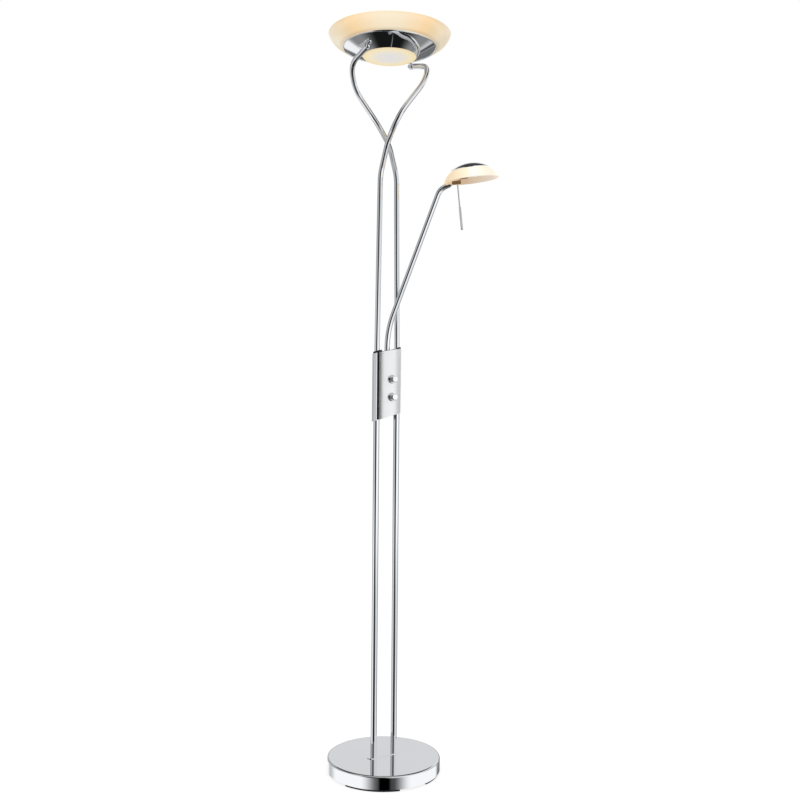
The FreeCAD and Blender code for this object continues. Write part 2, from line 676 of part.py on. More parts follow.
def oval(half_width, half_depth, bottom, top):
    """Upright oval prism between the two slanted end planes."""
    spare = 2 * BOX_HALF_WIDTH * math.tan(math.radians(max(BOX_TOP_SLANT, BOX_BOTTOM_SLANT)))
    ellipse = Part.Ellipse(vec(0, 0, bottom - spare), half_width, half_depth)
    prism = Part.Face(Part.Wire(ellipse.toShape())).extrude(vec(0, 0, top - bottom + 2 * spare))
    prism = prism.cut(beyond_end(top, BOX_TOP_SLANT, False))
    return prism.cut(beyond_end(bottom, BOX_BOTTOM_SLANT, True))


def box_axis_y(x, half_width, half_depth):
    return half_depth * math.sqrt(1 - (x / half_width) ** 2)


def make_box():
    wide = BOX_HALF_WIDTH
    deep = BOX_HALF_DEPTH
    skin = oval(wide, deep, BOX_BOTTOM, BOX_TOP)
    skin = skin.cut(oval(wide - SHELL_WALL, deep - SHELL_WALL, BOX_BOTTOM - 20, BOX_TOP + 20))
    low = BOX_BOTTOM - wide
    high = BOX_TOP + wide
    front = skin.common(box(-FRONT_SHELL_HALF_WIDTH, FRONT_SHELL_HALF_WIDTH, -2 * deep, 0, low, high))
    rear = skin.common(box(-2 * wide, 2 * wide, REAR_SHELL_FRONT_EDGE, 2 * deep, low, high))
    core_bottom = BOX_BOTTOM + CORE_BOTTOM_INSET
    lips = oval(CORE_HALF_WIDTH, CORE_HALF_DEPTH, core_bottom, BOX_TOP + CORE_LIP_HEIGHT)
    lip_start = CORE_HALF_WIDTH - CORE_LIP_LENGTH
    lips = lips.cut(box(-lip_start, lip_start, -deep, deep, low, high))
    core = oval(CORE_HALF_WIDTH, CORE_HALF_DEPTH, core_bottom, BOX_TOP + CORE_STAND_OUT)
    core = core.fuse(lips).removeSplitter()

    for x in (-POLE_X, POLE_X):
        core = core.cut(rod(LOWER_TUBE_RADIUS + SEAT_GAP, vec(x, 0, low), UP, BOX_MIDDLE + FACE_GAP - low))
        core = core.cut(rod(UPPER_TUBE_RADIUS + SEAT_GAP, vec(x, 0, BOX_MIDDLE), UP, high - BOX_MIDDLE))
    core = core.cut(rod(BUSH_RADIUS + SEAT_GAP, vec(0, 0, BUSH_BOTTOM), UP, high - BUSH_BOTTOM))
    core = core.cut(rod(BUSH_WIRE_RADIUS, vec(0, 0, POCKET_TOP - 1), UP, POCKET_TOP_WALL + 2))
    pocket = box(-POCKET_HALF_WIDTH, POCKET_HALF_WIDTH, CORE_FRONT_WALL_Y, 2 * deep, POCKET_BOTTOM, POCKET_TOP)
    core = core.cut(pocket)
    for z in KNOB_HEIGHTS.values():
        hole = rod(BUSHING_RADIUS + SEAT_GAP, vec(0, CORE_FRONT_WALL_Y, z), FRONT, 2 * deep)
        core = core.cut(hole)
        front = front.cut(hole)

    back = vec(0, 1, 0)
    screws = []
    for lift in (SHELL_SCREW_LOW_Z, SHELL_SCREW_HIGH_Z):
        z = BOX_BOTTOM + lift
        start = vec(0, deep + FACE_GAP - SHELL_SCREW_LENGTH, z)
        screw = rod(SHELL_SCREW_RADIUS, start, back, SHELL_SCREW_LENGTH)
        head = rod(SHELL_SCREW_HEAD_RADIUS, vec(0, deep + FACE_GAP, z), back, SHELL_SCREW_HEAD_HEIGHT)
        screws.append(screw.fuse(head))
        hole = rod(SHELL_SCREW_RADIUS + SEAT_GAP, vec(0, start.y - 1, z), back, 2 * deep)
        rear = rear.cut(hole)
        core = core.cut(hole)

    grubs = []
    for x in (-POLE_X, POLE_X):
        outside = box_axis_y(POLE_X, CORE_HALF_WIDTH, CORE_HALF_DEPTH)
        for lift, tube in ((GRUB_LOW_Z, LOWER_TUBE_RADIUS), (GRUB_HIGH_Z, UPPER_TUBE_RADIUS)):
            start = vec(x, tube + FACE_GAP, BOX_BOTTOM + lift)
            length = outside - start.y - FACE_GAP * 4
            grubs.append(rod(GRUB_SCREW_RADIUS, start, back, length))
            core = core.cut(rod(GRUB_SCREW_RADIUS + SEAT_GAP, vec(x, 0, start.z), back, 2 * deep))

    terminal_y = CORE_FRONT_WALL_Y + FACE_GAP
    terminal = box(
        -TERMINAL_LENGTH / 2, TERMINAL_LENGTH / 2, terminal_y, terminal_y + TERMINAL_DEPTH,
        POCKET_BOTTOM, POCKET_BOTTOM + TERMINAL_HEIGHT,
    )
    pitch = TERMINAL_LENGTH / TERMINAL_WAYS
    for i in range(TERMINAL_WAYS):
        x = (i + 0.5) * pitch - TERMINAL_LENGTH / 2
        terminal = terminal.cut(rod(pitch / 4, vec(x, terminal_y + TERMINAL_DEPTH / 2, POCKET_BOTTOM), UP, 20))

    save("box_front_shell", front)
    save("box_rear_shell", rear)
    save("box_core", core)
    save("box_screws", group(screws))
    save("tube_grub_screws", group(grubs))
    save("terminal_block", terminal)


def make_dimmers():
    plate_face = -BOX_HALF_DEPTH
    module_front = CORE_FRONT_WALL_Y + FACE_GAP
    bezel_back = plate_face - SEAT_GAP
    bezel_front = bezel_back - BEZEL_THICKNESS
    nut_front = bezel_front - BUSHING_NUT_HEIGHT
    bushing_front = nut_front - FACE_GAP
    knob_back = bezel_front - FACE_GAP
    knob_front = bezel_front - KNOB_LENGTH
    shaft_bore = SHAFT_RADIUS + RUNNING_FIT
    nut_room = BUSHING_NUT_FLATS / math.sqrt(3) + FACE_GAP
    bezels = []
    nuts = []
    for name, z in KNOB_HEIGHTS.items():
        module = box(
            -DIMMER_WIDTH / 2, DIMMER_WIDTH / 2, module_front, module_front + DIMMER_DEPTH,
            z - DIMMER_HEIGHT / 2, z + DIMMER_HEIGHT / 2,
        )
        module = module.fuse(rod(BUSHING_RADIUS, vec(0, module_front, z), FRONT, module_front - bushing_front))
        shaft_end = module_front + DIMMER_DEPTH / 2
        bore_end = shaft_end + FACE_GAP
        module = module.cut(rod(shaft_bore, vec(0, bore_end, z), FRONT, bore_end - bushing_front + FACE_GAP))
        save(name + "_dimmer", module)
        bezel = rod(BEZEL_RADIUS, vec(0, bezel_back, z), FRONT, BEZEL_THICKNESS)
        rim = [e for e in bezel.Edges if abs(e.BoundBox.YMax - bezel_front) < 0.01]
        bezel = bezel.makeChamfer(BEZEL_BEVEL, rim)
        bezels.append(bezel.cut(rod(BUSHING_RADIUS + SEAT_GAP, vec(0, bezel_back, z), FRONT, BEZEL_THICKNESS)))
        nut_place = vec(0, bezel_front, z)
        nuts.append(hex_nut(BUSHING_NUT_FLATS, BUSHING_NUT_HEIGHT, BUSHING_RADIUS + SEAT_GAP, nut_place, FRONT))
        length = knob_back - knob_front
        knob = rod(KNOB_RADIUS, vec(0, knob_back, z), FRONT, length)
        rim = [e for e in knob.Edges if abs(e.BoundBox.YMax - knob_front) < 0.01]
        knob = knob.makeChamfer(KNOB_EDGE, rim)
        room = knob_back - bushing_front + FACE_GAP
        knob = knob.cut(rod(nut_room, vec(0, knob_back, z), FRONT, room))
        shaft_length = shaft_end - knob_front - length / 4
        knob = knob.cut(rod(SHAFT_RADIUS, vec(0, shaft_end, z), FRONT, shaft_length))
        save(name + "_knob", knob)
        save(name + "_knob_shaft", rod(SHAFT_RADIUS, vec(0, shaft_end, z), FRONT, shaft_length))
    save("knob_bezels", group(bezels))
    save("dimmer_nuts", group(nuts))


def arm_points():
    """Centre line of the reading arm in its own upright plane, from foot to head pivot."""
    elbow_z = ARM_KNEE_Z + ARM_REACH / math.tan(math.radians(ARM_LEAN))
    rise = math.radians(ARM_TIP_RISE)
    foot = vec(0, 0, ARM_FOOT)
    knee = vec(0, 0, ARM_KNEE_Z)
    elbow = vec(ARM_REACH, 0, elbow_z)
    pivot = elbow + vec(math.cos(rise), 0, math.sin(rise)) * ARM_TIP_RUN
    return foot, knee, elbow, pivot


def on_arm(shape):
    """Turns a piece from the arm's own plane to the arm's place at rest."""
    shape.rotate(vec(0, 0, 0), UP, ARM_AZIMUTH)
    return shape


def rolled(shape):
    """Turns the knuckle, and what hangs on it, about the end of the arm tube to its place at rest."""
    elbow, pivot = arm_points()[-2:]
    shape.rotate(pivot, pivot - elbow, HEAD_ROLL)
    return shape


def make_arm():
    foot, knee, elbow, pivot = arm_points()
    along = (pivot - elbow).normalize()
    tube_end = pivot - along * TONGUE_TO_TUBE
    tube = bent_tube(
        [foot, knee, elbow, tube_end], [ARM_KNEE_RADIUS, ARM_ELBOW_RADIUS], ARM_TUBE_RADIUS, ARM_TUBE_WALL
    )
    plug_radius = ARM_TUBE_RADIUS - ARM_TUBE_WALL - RUNNING_FIT
    groove_radius = plug_radius - TONGUE_GROOVE_DEPTH
    plug_start = tube_end - along * TONGUE_PLUG_LENGTH
    groove_start = tube_end - along * (TONGUE_GROOVE_START + TONGUE_GROOVE_WIDTH)
    tongue = rod(plug_radius, plug_start, along, TONGUE_PLUG_LENGTH + FACE_GAP)
    tongue = tongue.cut(pipe(plug_radius + 1, groove_radius, groove_start, along, TONGUE_GROOVE_WIDTH))
    tongue = tongue.fuse(rod(ARM_TUBE_RADIUS, tube_end + along * FACE_GAP, along, TONGUE_COLLAR))
    side = vec(0, 1, 0)
    half = TONGUE_THICKNESS / 2
    eye = rod(TONGUE_RADIUS, pivot - side * half, side, TONGUE_THICKNESS)
    blade_length = TONGUE_TO_TUBE - FACE_GAP
    blade = Part.makeBox(blade_length, TONGUE_THICKNESS, 2 * TONGUE_RADIUS, vec(0, -half, -TONGUE_RADIUS))
    blade.Placement = FreeCAD.Placement(tube_end + along * FACE_GAP, FreeCAD.Rotation(side, -ARM_TIP_RISE))
    tongue = tongue.fuse([eye, blade]).removeSplitter()
    pin_hole = rod(PIVOT_PIN_RADIUS + RUNNING_FIT, pivot - side * 2 * half, side, 4 * half)
    tongue = tongue.cut(pin_hole)
    wire_way = rod(groove_radius / 2, plug_start, along, TONGUE_PLUG_LENGTH + TONGUE_TO_TUBE / 2)
    save("head_knuckle", on_arm(rolled(tongue.cut(wire_way))))

    turn = math.radians(STOP_SCREW_TURN)
    outward_way = vec(along.z, 0, -along.x) * math.cos(turn) + side * math.sin(turn)
    screw_start = groove_start + along * (TONGUE_GROOVE_WIDTH / 2) + outward_way * (groove_radius + FACE_GAP)
    screw_length = ARM_TUBE_RADIUS - groove_radius - FACE_GAP
    screw = rod(STOP_SCREW_RADIUS, screw_start, outward_way, screw_length)
    tube = tube.cut(rod(STOP_SCREW_RADIUS + SEAT_GAP, screw_start, outward_way, 2 * screw_length))
    save("reading_arm_tube", on_arm(tube))
    save("knuckle_screw", on_arm(screw))

    bush = rod(BUSH_RADIUS, vec(0, 0, BUSH_BOTTOM), UP, BUSH_LENGTH)
    lip_top = BUSH_BOTTOM + BUSH_LIP_THICKNESS
    bush = bush.cut(rod(ARM_TUBE_RADIUS + RUNNING_FIT, vec(0, 0, lip_top), UP, BUSH_LENGTH))
    bush = bush.cut(rod(BUSH_WIRE_RADIUS, vec(0, 0, BUSH_BOTTOM), UP, BUSH_LENGTH))
    save("arm_bush", bush)


def on_head(shape):
    """Moves a piece from the shade's own frame, with its pivot at the origin, to its place at rest."""
    shape.rotate(vec(0, 0, 0), vec(0, 1, 0), -HEAD_TILT)
    shape.translate(arm_points()[-1])
    return on_arm(rolled(shape))


def shade_glass():
    half_wall = SHADE_WALL / 2
    seat = CAP_WALL + FACE_GAP
    top = CAP_TOP_HEIGHT - seat
    shoulder = CAP_EDGE_HEIGHT - seat
    hole = CAP_STUD_RADIUS + SEAT_GAP
    shoulder_in = CAP_RADIUS - half_wall
    top_in = top - SHADE_WALL
    belly_in = (SHADE_BELLY_RADIUS - SHADE_WALL, SHADE_BELLY_HEIGHT - half_wall)
    return turned(
        crown(top_in, CAP_RADIUS, shoulder - SHADE_WALL, 0, hole)[1],
        [
            crown(top_in, CAP_RADIUS, shoulder - SHADE_WALL, hole, shoulder_in),
            (belly_in, (SHADE_RADIUS - SHADE_WALL, half_wall)),
            ((SHADE_RADIUS - half_wall, 0), (SHADE_RADIUS, half_wall)),
            ((SHADE_BELLY_RADIUS, SHADE_BELLY_HEIGHT), (CAP_RADIUS, shoulder)),
            crown(top, CAP_RADIUS, shoulder, CAP_RADIUS, hole),
        ],
    )


def shade_cap():
    inside = CAP_TOP_HEIGHT - CAP_WALL
    edge_inside = CAP_EDGE_HEIGHT - CAP_WALL
    cap = turned(
        (0, inside),
        [
            crown(inside, CAP_RADIUS, edge_inside, 0, CAP_RADIUS),
            crown(CAP_TOP_HEIGHT, CAP_RADIUS, CAP_EDGE_HEIGHT, 0, CAP_RADIUS)[1],
            crown(CAP_TOP_HEIGHT, CAP_RADIUS, CAP_EDGE_HEIGHT, CAP_RADIUS, 0),
        ],
    )
    stud = rod(CAP_STUD_RADIUS, vec(0, 0, inside - CAP_STUD_LENGTH), UP, CAP_STUD_LENGTH + CAP_WALL / 2)
    return cap.fuse(stud)


def make_head():
    shade_origin = vec(SHADE_FORWARD, 0, SHADE_ABOVE_PIVOT)
    side = vec(0, 1, 0)
    glass = shade_glass()
    cap = shade_cap()

    glass_inside = CAP_TOP_HEIGHT - CAP_WALL - FACE_GAP - SHADE_WALL
    strap_top = glass_inside - BRACKET_BELOW_SHADE
    strap_bottom = strap_top - BRACKET_THICKNESS
    spacer_height = BRACKET_BELOW_SHADE - FACE_GAP * 2
    spacer = pipe(SPACER_RADIUS, CAP_STUD_RADIUS + SEAT_GAP, vec(0, 0, strap_top), UP, spacer_height)
    nut_bottom = vec(0, 0, strap_bottom - CAP_NUT_HEIGHT)
    nut = hex_nut(CAP_NUT_FLATS, CAP_NUT_HEIGHT, CAP_STUD_RADIUS + SEAT_GAP, nut_bottom, UP)
    for shape in (glass, cap, spacer, nut):
        shape.translate(shade_origin)

    leg_x = EAR_LENGTH - BRACKET_THICKNESS
    half = BRACKET_WIDTH / 2
    top_z = SHADE_ABOVE_PIVOT + strap_top
    bracket = box(leg_x, EAR_LENGTH, -half, half, -EAR_RADIUS, top_z)
    bracket = bracket.fuse(
        box(leg_x, SHADE_FORWARD + BRACKET_TOP_REACH, -half, half, top_z - BRACKET_THICKNESS, top_z)
    )
    ear_inside = TONGUE_THICKNESS / 2 + SEAT_GAP
    ear_outside = ear_inside + BRACKET_THICKNESS
    for y in (-ear_outside, ear_inside):
        ear = rod(EAR_RADIUS, vec(0, y, 0), side, BRACKET_THICKNESS)
        arm = box(0, EAR_LENGTH, y, y + BRACKET_THICKNESS, -EAR_RADIUS, EAR_RADIUS)
        bracket = bracket.fuse([ear, arm])
    web_end = WEB_START + WEB_LENGTH
    web = box(WEB_START, web_end, -ear_outside, ear_outside, -EAR_RADIUS, WEB_THICKNESS - EAR_RADIUS)
    bracket = bracket.fuse(web).removeSplitter()
    bracket = bracket.cut(rod(PIVOT_PIN_RADIUS + RUNNING_FIT, vec(0, -EAR_LENGTH, 0), side, 2 * EAR_LENGTH))
    stud_place = vec(SHADE_FORWARD, 0, top_z - 2 * BRACKET_THICKNESS)
    bracket = bracket.cut(rod(CAP_STUD_RADIUS + SEAT_GAP, stud_place, UP, 4 * BRACKET_THICKNESS))

    pin_half = ear_outside + FACE_GAP
    pin = rod(PIVOT_PIN_RADIUS, vec(0, -pin_half, 0), side, 2 * pin_half)
    for y in (-pin_half - PIVOT_HEAD_THICKNESS, pin_half):
        pin = pin.fuse(rod(PIVOT_HEAD_RADIUS, vec(0, y, 0), side, PIVOT_HEAD_THICKNESS))

    socket_x = EAR_LENGTH + FACE_GAP
    socket_z = SHADE_ABOVE_PIVOT + SOCKET_LIFT
    socket = box(
        socket_x, socket_x + SOCKET_LENGTH, -SOCKET_WIDTH / 2, SOCKET_WIDTH / 2,
        socket_z - SOCKET_HEIGHT / 2, socket_z + SOCKET_HEIGHT / 2,
    )
    forward = vec(1, 0, 0)
    capsule_x = socket_x + SOCKET_LENGTH
    capsule = rod(CAPSULE_RADIUS * 0.85, vec(capsule_x, 0, socket_z), forward, CAPSULE_LENGTH - CAPSULE_RADIUS)
    capsule = capsule.fuse(
        Part.makeSphere(CAPSULE_RADIUS * 0.85, vec(capsule_x + CAPSULE_LENGTH - CAPSULE_RADIUS, 0, socket_z))
    )

    lean = math.radians(HANDLE_LEAN - HEAD_TILT)
    down = vec(math.sin(lean), 0, -math.cos(lean))
    top = vec(WEB_START + WEB_LENGTH / 2, 0, -EAR_RADIUS)
    handle = rod(HANDLE_RADIUS, top - down * (WEB_THICKNESS * 0.8), down, HANDLE_LENGTH + WEB_THICKNESS * 0.8)
    hole_top = top - down * (WEB_THICKNESS * 0.8 + FACE_GAP)
    socket_hole = rod(HANDLE_RADIUS + SEAT_GAP, hole_top, down, WEB_THICKNESS * 2)
    bracket = bracket.cut(socket_hole)
    grip_start = top + down * (HANDLE_LENGTH - GRIP_LENGTH)
    grip = pipe(GRIP_RADIUS, HANDLE_RADIUS + SEAT_GAP, grip_start, down, GRIP_LENGTH - TIP_RADIUS)
    knob_centre = top + down * HANDLE_LENGTH
    handle = handle.fuse(Part.makeSphere(TIP_RADIUS, knob_centre))

    save("shade_glass", on_head(glass))
    save("shade_cap", on_head(cap))
    save("shade_spacer", on_head(spacer))
    save("shade_nut", on_head(nut))
    save("head_bracket", on_head(bracket))
    save("head_pivot_pin", on_head(pin))
    save("capsule_socket", on_head(socket))
    save("halogen_capsule", on_head(capsule))
    save("handle_rod", on_head(handle))
    save("handle_grip", on_head(grip))


def main():
    os.makedirs("parts", exist_ok=True)
    make_base()
    make_pole_feet()
    make_lower_tubes()
    make_upper_tubes()
    make_end_fittings()
    make_dish()
    make_lens()
    make_bowl()
    make_lamp_carrier()
    make_box()
    make_dimmers()
    make_arm()
    make_head()


main()
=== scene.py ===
import json
import math

import bpy
from mathutils import Matrix, Vector


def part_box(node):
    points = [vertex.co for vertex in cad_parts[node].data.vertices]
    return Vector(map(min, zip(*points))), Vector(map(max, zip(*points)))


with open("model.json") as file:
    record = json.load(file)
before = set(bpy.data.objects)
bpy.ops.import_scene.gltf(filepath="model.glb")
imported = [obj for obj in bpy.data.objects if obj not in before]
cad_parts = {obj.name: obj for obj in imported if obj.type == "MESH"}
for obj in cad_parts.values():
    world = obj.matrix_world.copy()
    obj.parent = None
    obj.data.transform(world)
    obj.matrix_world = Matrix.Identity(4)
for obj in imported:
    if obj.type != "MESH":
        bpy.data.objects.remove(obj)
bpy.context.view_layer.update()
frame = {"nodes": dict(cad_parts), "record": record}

# Camera: where it stands in the part's own frame, in metres and degrees.
CAMERA_PLACE = Vector((-1.2939, -2.0142, 0.9059))
CAMERA_HEADING = 56.5
CAMERA_SIDE = CAMERA_HEADING + 180
CAMERA_ROLL = 0.504
CAMERA_LENS = 44.02

# Studio seen by the metal: level of each patch of the surroundings, by direction in degrees.
# Azimuths count from the direction back to the camera, towards the picture's right. A later patch
# covers an earlier one. Each has its left, right, lower and upper limit, with the softness of
# each, and then its level.
ROOM_LEVEL = 0.63
STUDIO_PATCHES = {
    "panel left": ((-86, 8), (-40, 4), (-20, 1), (-6, 3), 0.98),
    "panel right": ((38, 4), (82, 8), (-20, 1), (-5, 3), 0.90),
    "panel beside knobs": ((16, 12), (108, 10), (-9, 3), (8, 3), 1.18),
    "shade behind right": ((90, 8), (138, 6), (-20, 1), (3, 3), 0.46),
    "shade behind left": ((-146, 6), (-92, 8), (-20, 1), (3, 3), 0.46),
    "lit floor": ((-400, 1), (400, 1), (-100, 1), (-19.8, 0.5), 1.12),
    "soft box right": ((36, 8), (172, 6), (3, 4), (36, 4), 0.86),
    "grey wall left": ((-168, 4), (-62, 14), (8, 4), (34, 4), 0.42),
    "rear wall": ((166, 6), (194, 6), (12, 2), (31, 4), 0.77),
    "floor edge left": ((-162, 4), (-122, 12), (-50, 10), (-19, 2), 0.62),
    "floor rear left": ((182, 6), (214, 8), (-32, 4), (-8, 4), 1.05),
    "floor rear right": ((134, 6), (158, 6), (-52, 4), (-26, 3), 0.70),
    "floor edge right": ((140, 10), (186, 5), (-27, 3), (-19, 3), 0.08),
    "floor edge right, upper": ((140, 10), (186, 5), (-19, 3), (-6, 3), 0.18),
    "dark behind": ((148, 5), (198, 5), (-9, 4), (11, 3), 0.17),
    "grey ground": ((-400, 1), (400, 1), (-100, 1), (-33, 6), 0.27),
    "dark ground": ((-400, 1), (400, 1), (-100, 1), (-56, 9), 0.01),
    "ceiling": ((-400, 1), (400, 1), (36, 5), (100, 1), 0.55),
    "dark ceiling behind": ((75, 14), (285, 14), (34, 4), (100, 1), 0.06),
    "open front": ((-40, 10), (12, 10), (-20, 1), (31, 6), 0.02),
    "open front, low": ((-30, 6), (32, 6), (-20, 1), (-12, 4), 0.02),
    "open front, left edge": ((-29, 18), (2, 1), (-60, 8), (-20, 1), 0.11),
    "open front, right edge": ((2, 1), (40, 20), (-60, 8), (-20, 1), 0.07),
    "open front, middle": ((-9, 4), (15, 4), (-60, 8), (-20, 1), 0.0),
}
STUDIO_TINT = (0.97, 0.975, 0.99, 1)

# Levels of the world for plain light, of the floor's lift to white, and of the painted glow of the lit glass.
DIFFUSE_LEVEL = 0.80
FLOOR_LIFT = 0.80
GLOW = 0.80

WHITE = (1, 1, 1, 1)
UP = Vector((0, 0, 1))
FLOOR_HALF_WIDTH = 30.0
LAMP_AIM = (0, 0, 0.9)
LAMP_SIZE = 1.6

# Tones of the lit bowl's painted glow, from its outline towards its middle.
PALE_EDGE = (0.80, 0.70, 0.54)
CREAM = (0.86, 0.72, 0.53)
PEACH = (0.90, 0.69, 0.43)
AMBER = (1.0, 0.715, 0.41)
WARM = (1.0, 0.80, 0.55)
MILK = (1.0, 0.87, 0.66)


def add(tree, kind, inputs=None, **settings):
    made = tree.nodes.new("ShaderNode" + kind)
    for key, value in settings.items():
        setattr(made, key, value)
    for key, value in (inputs or {}).items():
        if isinstance(value, bpy.types.NodeSocket):
            tree.links.new(value, made.inputs[key])
        else:
            made.inputs[key].default_value = value
    return made


def calc(tree, operation, *values):
    return add(tree, "Math", dict(enumerate(values)), operation=operation).outputs[0]


def vector_calc(tree, operation, *values):
    made = add(tree, "VectorMath", dict(enumerate(values)), operation=operation)
    return made.outputs["Value" if operation in ("DOT_PRODUCT", "LENGTH") else "Vector"]


def span(tree, value, low, high, start=0.0, end=1.0):
    """Smooth step of a value from one limit to the other."""
    inputs = {"Value": value, "From Min": low, "From Max": high, "To Min": start, "To Max": end}
    return add(tree, "MapRange", inputs, interpolation_type="SMOOTHSTEP").outputs["Result"]


def ramp(tree, factor, stops):
    made = add(tree, "ValToRGB", {"Fac": factor})
    elements = made.color_ramp.elements
    while len(elements) < len(stops):
        elements.new(0.5)
    for element, (place, colour) in zip(elements, stops):
        element.position = place
        element.color = (*colour, 1)
    return made.outputs["Color"]


def blend_colour(tree, factor, first, second):
    made = add(tree, "Mix", data_type="RGBA")
    for index, value in ((0, factor), (6, first), (7, second)):
        if isinstance(value, bpy.types.NodeSocket):
            tree.links.new(value, made.inputs[index])
        else:
            made.inputs[index].default_value = (*value, 1) if isinstance(value, tuple) else value
    return made.outputs[2]


def multiply_colour(tree, first, second):
    made = add(tree, "Mix", data_type="RGBA", blend_type="MULTIPLY")
    made.inputs[0].default_value = 1.0
    tree.links.new(first, made.inputs[6])
    tree.links.new(second, made.inputs[7])
    return made.outputs[2]


def noise(tree, vector, scale, detail=3.0):
    return add(tree, "TexNoise", {"Vector": vector, "Scale": scale, "Detail": detail}).outputs["Fac"]


def object_point(tree):
    return add(tree, "TexCoord").outputs["Object"]


def new_material(name):
    made = bpy.data.materials.new(name)
    made.use_nodes = True
    tree = made.node_tree
    return made, tree, tree.nodes["Principled BSDF"]


def set_inputs(tree, shader, inputs):
    for key, value in inputs.items():
        if isinstance(value, bpy.types.NodeSocket):
            tree.links.new(value, shader.inputs[key])
        elif isinstance(value, tuple) and len(value) == 3:
            shader.inputs[key].default_value = (*value, 1)
        else:
            shader.inputs[key].default_value = value


def bump(tree, height, strength, distance):
    return add(tree, "Bump", {"Height": height, "Strength": strength, "Distance": distance}).outputs["Normal"]


def chrome(name, bright, dull, polish, haze, orange_peel, metallic=1.0):
    """Plated metal: faint clouding in tone and polish, and the slight waviness of a buffed surface."""
    made, tree, shader = new_material(name)
    point = object_point(tree)
    cloud = noise(tree, point, 14.0)
    fine = noise(tree, point, 420.0, 5.0)
    waves = noise(tree, point, 55.0, 2.0)
    mixed = calc(tree, "ADD", calc(tree, "MULTIPLY", cloud, 0.7), calc(tree, "MULTIPLY", fine, 0.3))
    set_inputs(tree, shader, {
        "Metallic": metallic,
        "Base Color": blend_colour(tree, cloud, dull, bright),
        "Roughness": span(tree, mixed, 0.3, 0.75, polish, haze),
        "Normal": bump(tree, waves, orange_peel, 0.0004),
    })
    return made


def moulded(name, colour, lighter, roughness, grain, grain_depth):
    """Plastic, rubber or ceramic with a fine grain."""
    made, tree, shader = new_material(name)
    point = object_point(tree)
    patches = noise(tree, point, 30.0)
    specks = noise(tree, point, grain, 4.0)
    set_inputs(tree, shader, {
        "Base Color": blend_colour(tree, patches, colour, lighter),
        "Roughness": span(tree, specks, 0.3, 0.7, roughness * 0.85, min(1.0, roughness * 1.15)),
        "Normal": bump(tree, specks, 0.35, grain_depth),
    })
    return made


def steel(name, colour, lighter, roughness, scale):
    """Plain zinc-plated or cast metal with a crystalline mottle."""
    made, tree, shader = new_material(name)
    point = object_point(tree)
    cells = add(tree, "TexVoronoi", {"Vector": point, "Scale": scale}).outputs["Distance"]
    specks = noise(tree, point, scale * 2.5)
    set_inputs(tree, shader, {
        "Metallic": 1.0,
        "Base Color": blend_colour(tree, cells, colour, lighter),
        "Roughness": span(tree, specks, 0.3, 0.7, roughness * 0.8, roughness * 1.2),
        "Normal": bump(tree, specks, 0.3, 0.0002),
    })
    return made


def lit_glass(name, roughness, grain=900.0):
    """Opal glass with a lamp behind it, its light painted on as a glow whose tone comes from tint()."""
    made, tree, shader = new_material(name)
    frost = noise(tree, object_point(tree), grain, 3.0)
    set_inputs(tree, shader, {
        "Emission Strength": GLOW,
        "Roughness": span(tree, frost, 0.3, 0.7, roughness * 0.8, roughness * 1.2),
        "Specular IOR Level": 0.5,
        "Normal": bump(tree, frost, 0.15, 0.0001),
    })
    return made, tree, shader


def tint(tree, shader, tone):
    """Gives lit glass its tone: part of it is a painted glow, and part answers to the room's light."""
    tree.links.new(tone, shader.inputs["Emission Color"])
    body = blend_colour(tree, noise(tree, object_point(tree), 60.0), (0.34, 0.34, 0.34), (0.42, 0.42, 0.42))
    tree.links.new(multiply_colour(tree, tone, body), shader.inputs["Base Color"])


def axis_frame(node_low, node_high):
    """Point and direction of the axis of two round nodes, one above the other."""
    ends = []
    for name in (node_low, node_high):
        vertices = frame["nodes"][name].data.vertices
        ends.append(sum((v.co for v in vertices), Vector()) / len(vertices))
    return ends[0], (ends[1] - ends[0]).normalized()


def round_coordinates(tree, origin, axis):
    """Sockets for the height along an axis and for the vector straight out from it."""
    offset = vector_calc(tree, "SUBTRACT", object_point(tree), origin)
    height = vector_calc(tree, "DOT_PRODUCT", offset, axis)
    along = add(tree, "VectorMath", {0: axis, "Scale": height}, operation="SCALE").outputs[0]
    return height, vector_calc(tree, "SUBTRACT", offset, along)


def toward(azimuth):
    a = math.radians(azimuth)
    return Vector((math.cos(a), math.sin(a), 0))


def bowl_glass():
    """Painted glow of the burner's light: peach on both sides of the burner, milky across it, pale at the
    rim, and painted shade at the dish.
    """
    made, tree, shader = lit_glass("amber bowl glass", 0.22)
    low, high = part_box("glass_bowl")
    height, across = round_coordinates(tree, Vector((0, 0, low[2])), UP)
    outward = vector_calc(tree, "NORMALIZE", across)
    facing = calc(tree, "ABSOLUTE", vector_calc(tree, "DOT_PRODUCT", outward, toward(CAMERA_SIDE)))
    # Painted glow, brightest where the glass faces the camera's side or the opposite side.
    around = ramp(tree, facing, [
        (0.20, PALE_EDGE), (0.40, CREAM), (0.66, PEACH), (0.79, AMBER), (0.93, WARM), (1.0, MILK),
    ])
    rise = calc(tree, "DIVIDE", height, high[2] - low[2])
    # Painted shade low at the dish, full glow above it, a little dimmer at the rim.
    level = ramp(tree, rise, [
        (0.0, (0.35, 0.32, 0.28)), (0.12, (0.74, 0.73, 0.70)), (0.22, (1, 1, 0.97)),
        (0.80, (1, 1, 1)), (1.0, (0.93, 0.92, 0.84)),
    ])
    tint(tree, shader, multiply_colour(tree, around, level))
    return made


def lens_glass():
    """Frosted disc with a painted glow, white in the middle and yellow at its edge."""
    made, tree, shader = lit_glass("opal lens glass", 0.35)
    low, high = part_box("lens_glass")
    across = round_coordinates(tree, Vector((0, 0, low[2])), UP)[1]
    share = calc(tree, "DIVIDE", vector_calc(tree, "LENGTH", across), high[0])
    tint(tree, shader, ramp(tree, share, [
        (0.0, (0.80, 0.78, 0.78)), (0.40, (0.83, 0.79, 0.74)),
        (0.74, (0.96, 0.83, 0.55)), (0.97, (0.92, 0.72, 0.40)),
    ]))
    return made


